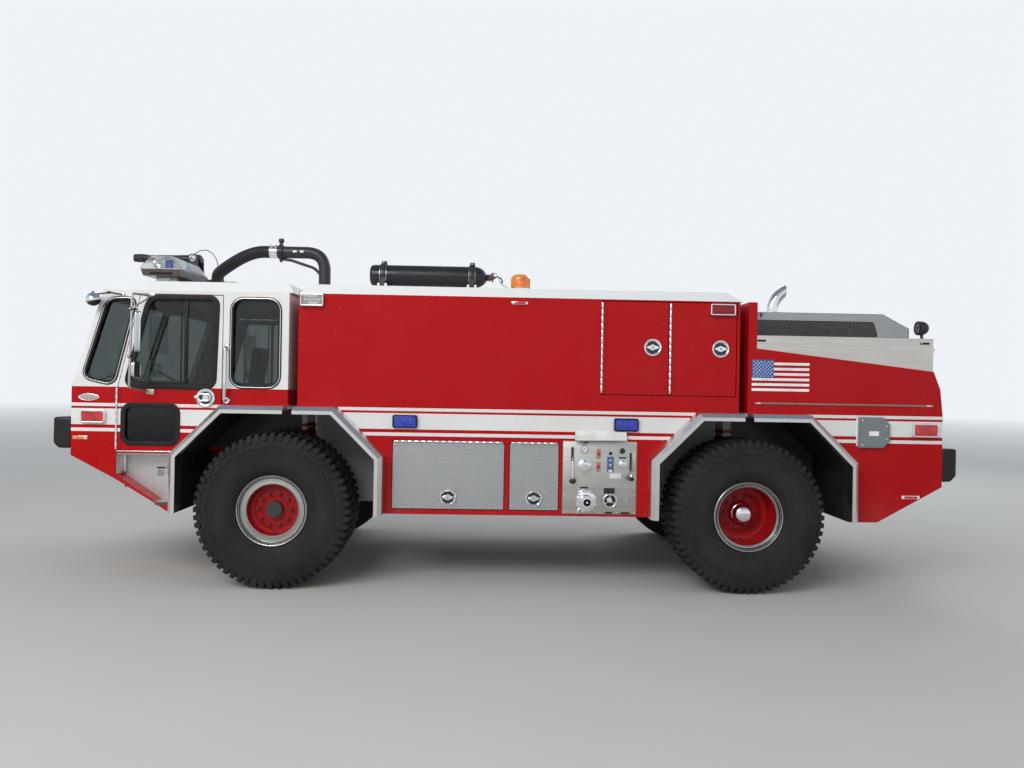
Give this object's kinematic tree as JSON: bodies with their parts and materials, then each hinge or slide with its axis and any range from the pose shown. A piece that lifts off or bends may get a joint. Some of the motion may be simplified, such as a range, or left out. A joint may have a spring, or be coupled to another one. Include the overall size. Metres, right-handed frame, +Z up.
{
  "type": "airport fire truck",
  "caption": "Airport crash tender with a forward cab, tank body, rear engine, large steered wheels, opening doors and lockers, and a roof turret.",
  "frame": {"origin": "on the ground, halfway between the bumpers' faces, on the centre plane", "axes": "+Z up; -X is the driving direction, so +X runs to the rear; +Y is the vehicle's right side"},
  "size_m": [8.116, 3.33, 3.1488],
  "materials": {
    "red_paint": "gloss",
    "white_paint": "gloss",
    "black_paint": "satin",
    "engine_iron": "rough",
    "tinted_glass": "polished",
    "dark_plastic": "matte",
    "seat_cloth": "woven",
    "tread_plate": "bright",
    "stainless": "brushed",
    "chrome": "polished",
    "clear_lens": "polished",
    "red_lens": "polished",
    "blue_lens": "polished",
    "amber_lens": "polished",
    "tyre": "matte",
    "wheel_paint": "satin"
  },
  "bodies": {
    "chassis": {"frame": "black_paint", "front_axle": "black_paint", "rear_axle": "black_paint", "driveline": "black_paint", "engine": "engine_iron", "cab_shell": "red_paint", "cab_roof": "white_paint", "cab_glass": "tinted_glass", "dashboard": "dark_plastic", "seats": "seat_cloth", "front_bumper": "black_paint", "cab_steps": "tread_plate", "fender_flares": "tread_plate", "wheel_wells": "black_paint", "tank_body": "red_paint", "body_roof": "white_paint", "pump_panels": "stainless", "bulkhead": "red_paint", "engine_body": "red_paint", "hood_plates": "stainless", "engine_hood": "tread_plate", "rear_grille": "black_paint", "exhaust_stack": "chrome", "rear_bumper": "black_paint", "gas_cylinder": "black_paint", "light_bars": "clear_lens", "turret_base": "black_paint", "supply_pipe": "black_paint", "white_lamps": "clear_lens", "red_lamps": "red_lens", "blue_lamps": "blue_lens", "amber_lamps": "amber_lens", "grab_rails": "chrome"},
    "cab_door_left": {"cab_door_left": "red_paint", "door_glass_left": "tinted_glass", "mirror_left": "black_paint"},
    "cab_door_right": {"cab_door_right": "red_paint", "door_glass_right": "tinted_glass", "mirror_right": "black_paint"},
    "upper_door_front_left": {"upper_door_front_left": "red_paint"},
    "upper_door_front_right": {"upper_door_front_right": "red_paint"},
    "upper_door_rear_left": {"upper_door_rear_left": "red_paint"},
    "upper_door_rear_right": {"upper_door_rear_right": "red_paint"},
    "lower_door_front_left": {"lower_door_front_left": "tread_plate"},
    "lower_door_front_right": {"lower_door_front_right": "tread_plate"},
    "lower_door_rear_left": {"lower_door_rear_left": "tread_plate"},
    "lower_door_rear_right": {"lower_door_rear_right": "tread_plate"},
    "knuckle_left": {"knuckle_left": "black_paint"},
    "knuckle_right": {"knuckle_right": "black_paint"},
    "tie_rod": {"tie_rod": "black_paint"},
    "wheel_front_left": {"tyre_front_left": "tyre", "rim_front_left": "wheel_paint"},
    "wheel_front_right": {"tyre_front_right": "tyre", "rim_front_right": "wheel_paint"},
    "wheel_rear_left": {"tyre_rear_left": "tyre", "rim_rear_left": "wheel_paint"},
    "wheel_rear_right": {"tyre_rear_right": "tyre", "rim_rear_right": "wheel_paint"},
    "turret_yoke": {"turret_yoke": "black_paint"},
    "turret_barrel": {"turret_barrel": "black_paint"}
  },
  "joints": [
    {"name": "steer_left", "type": "hinge", "parent": "chassis", "child": "knuckle_left", "pos_m": [-2.089, -1.08, 0.686], "axis": [0, 0, 1], "range_deg": [-28, 28]},
    {"name": "steer_right", "type": "hinge", "parent": "chassis", "child": "knuckle_right", "pos_m": [-2.089, 1.08, 0.686], "axis": [0, 0, 1], "range_deg": [-28, 28]},
    {"name": "track_rod", "type": "hinge", "parent": "knuckle_left", "child": "tie_rod", "pos_m": [-2.209, -1.08, 0.626], "axis": [0, 0, 1], "range_deg": [-28, 28]},
    {"name": "spin_front_left", "type": "hinge", "parent": "knuckle_left", "child": "wheel_front_left", "pos_m": [-2.089, -1.2, 0.686], "axis": [0, 1, 0], "continuous": true},
    {"name": "spin_front_right", "type": "hinge", "parent": "knuckle_right", "child": "wheel_front_right", "pos_m": [-2.089, 1.2, 0.686], "axis": [0, 1, 0], "continuous": true},
    {"name": "spin_rear_left", "type": "hinge", "parent": "chassis", "child": "wheel_rear_left", "pos_m": [2.111, -1.2, 0.686], "axis": [0, 1, 0], "continuous": true},
    {"name": "spin_rear_right", "type": "hinge", "parent": "chassis", "child": "wheel_rear_right", "pos_m": [2.111, 1.2, 0.686], "axis": [0, 1, 0], "continuous": true},
    {"name": "open_cab_door_left", "type": "hinge", "parent": "chassis", "child": "cab_door_left", "pos_m": [-3.491, -1.3493, 1.45], "axis": [0, 0, -1], "range_deg": [0, 75]},
    {"name": "open_cab_door_right", "type": "hinge", "parent": "chassis", "child": "cab_door_right", "pos_m": [-3.491, 1.3493, 1.45], "axis": [0, 0, 1], "range_deg": [0, 75]},
    {"name": "open_upper_door_front_left", "type": "hinge", "parent": "chassis", "child": "upper_door_front_left", "pos_m": [0.796, -1.3493, 2.17], "axis": [0, 0, -1], "range_deg": [0, 90]},
    {"name": "open_upper_door_front_right", "type": "hinge", "parent": "chassis", "child": "upper_door_front_right", "pos_m": [0.796, 1.3493, 2.17], "axis": [0, 0, 1], "range_deg": [0, 90]},
    {"name": "open_upper_door_rear_left", "type": "hinge", "parent": "chassis", "child": "upper_door_rear_left", "pos_m": [1.411, -1.3493, 2.17], "axis": [0, 0, -1], "range_deg": [0, 90]},
    {"name": "open_upper_door_rear_right", "type": "hinge", "parent": "chassis", "child": "upper_door_rear_right", "pos_m": [1.411, 1.3493, 2.17], "axis": [0, 0, 1], "range_deg": [0, 90]},
    {"name": "lift_lower_door_front_left", "type": "hinge", "parent": "chassis", "child": "lower_door_front_left", "pos_m": [-0.561, -1.3493, 1.304], "axis": [-1, 0, 0], "range_deg": [0, 90]},
    {"name": "lift_lower_door_front_right", "type": "hinge", "parent": "chassis", "child": "lower_door_front_right", "pos_m": [-0.561, 1.3493, 1.304], "axis": [1, 0, 0], "range_deg": [0, 90]},
    {"name": "lift_lower_door_rear_left", "type": "hinge", "parent": "chassis", "child": "lower_door_rear_left", "pos_m": [0.206, -1.3493, 1.304], "axis": [-1, 0, 0], "range_deg": [0, 90]},
    {"name": "lift_lower_door_rear_right", "type": "hinge", "parent": "chassis", "child": "lower_door_rear_right", "pos_m": [0.206, 1.3493, 1.304], "axis": [1, 0, 0], "range_deg": [0, 90]},
    {"name": "turret_turn", "type": "hinge", "parent": "chassis", "child": "turret_yoke", "pos_m": [-3.339, 0, 2.89], "axis": [0, 0, 1], "range_deg": [-90, 90]},
    {"name": "turret_raise", "type": "hinge", "parent": "turret_yoke", "child": "turret_barrel", "pos_m": [-3.339, 0, 3.095], "axis": [0, 1, 0], "range_deg": [0, 45]}
  ],
  "couplings": [
    {"joint": "steer_right", "follows": "steer_left", "ratio": 1},
    {"joint": "track_rod", "follows": "steer_left", "ratio": -1}
  ]
}
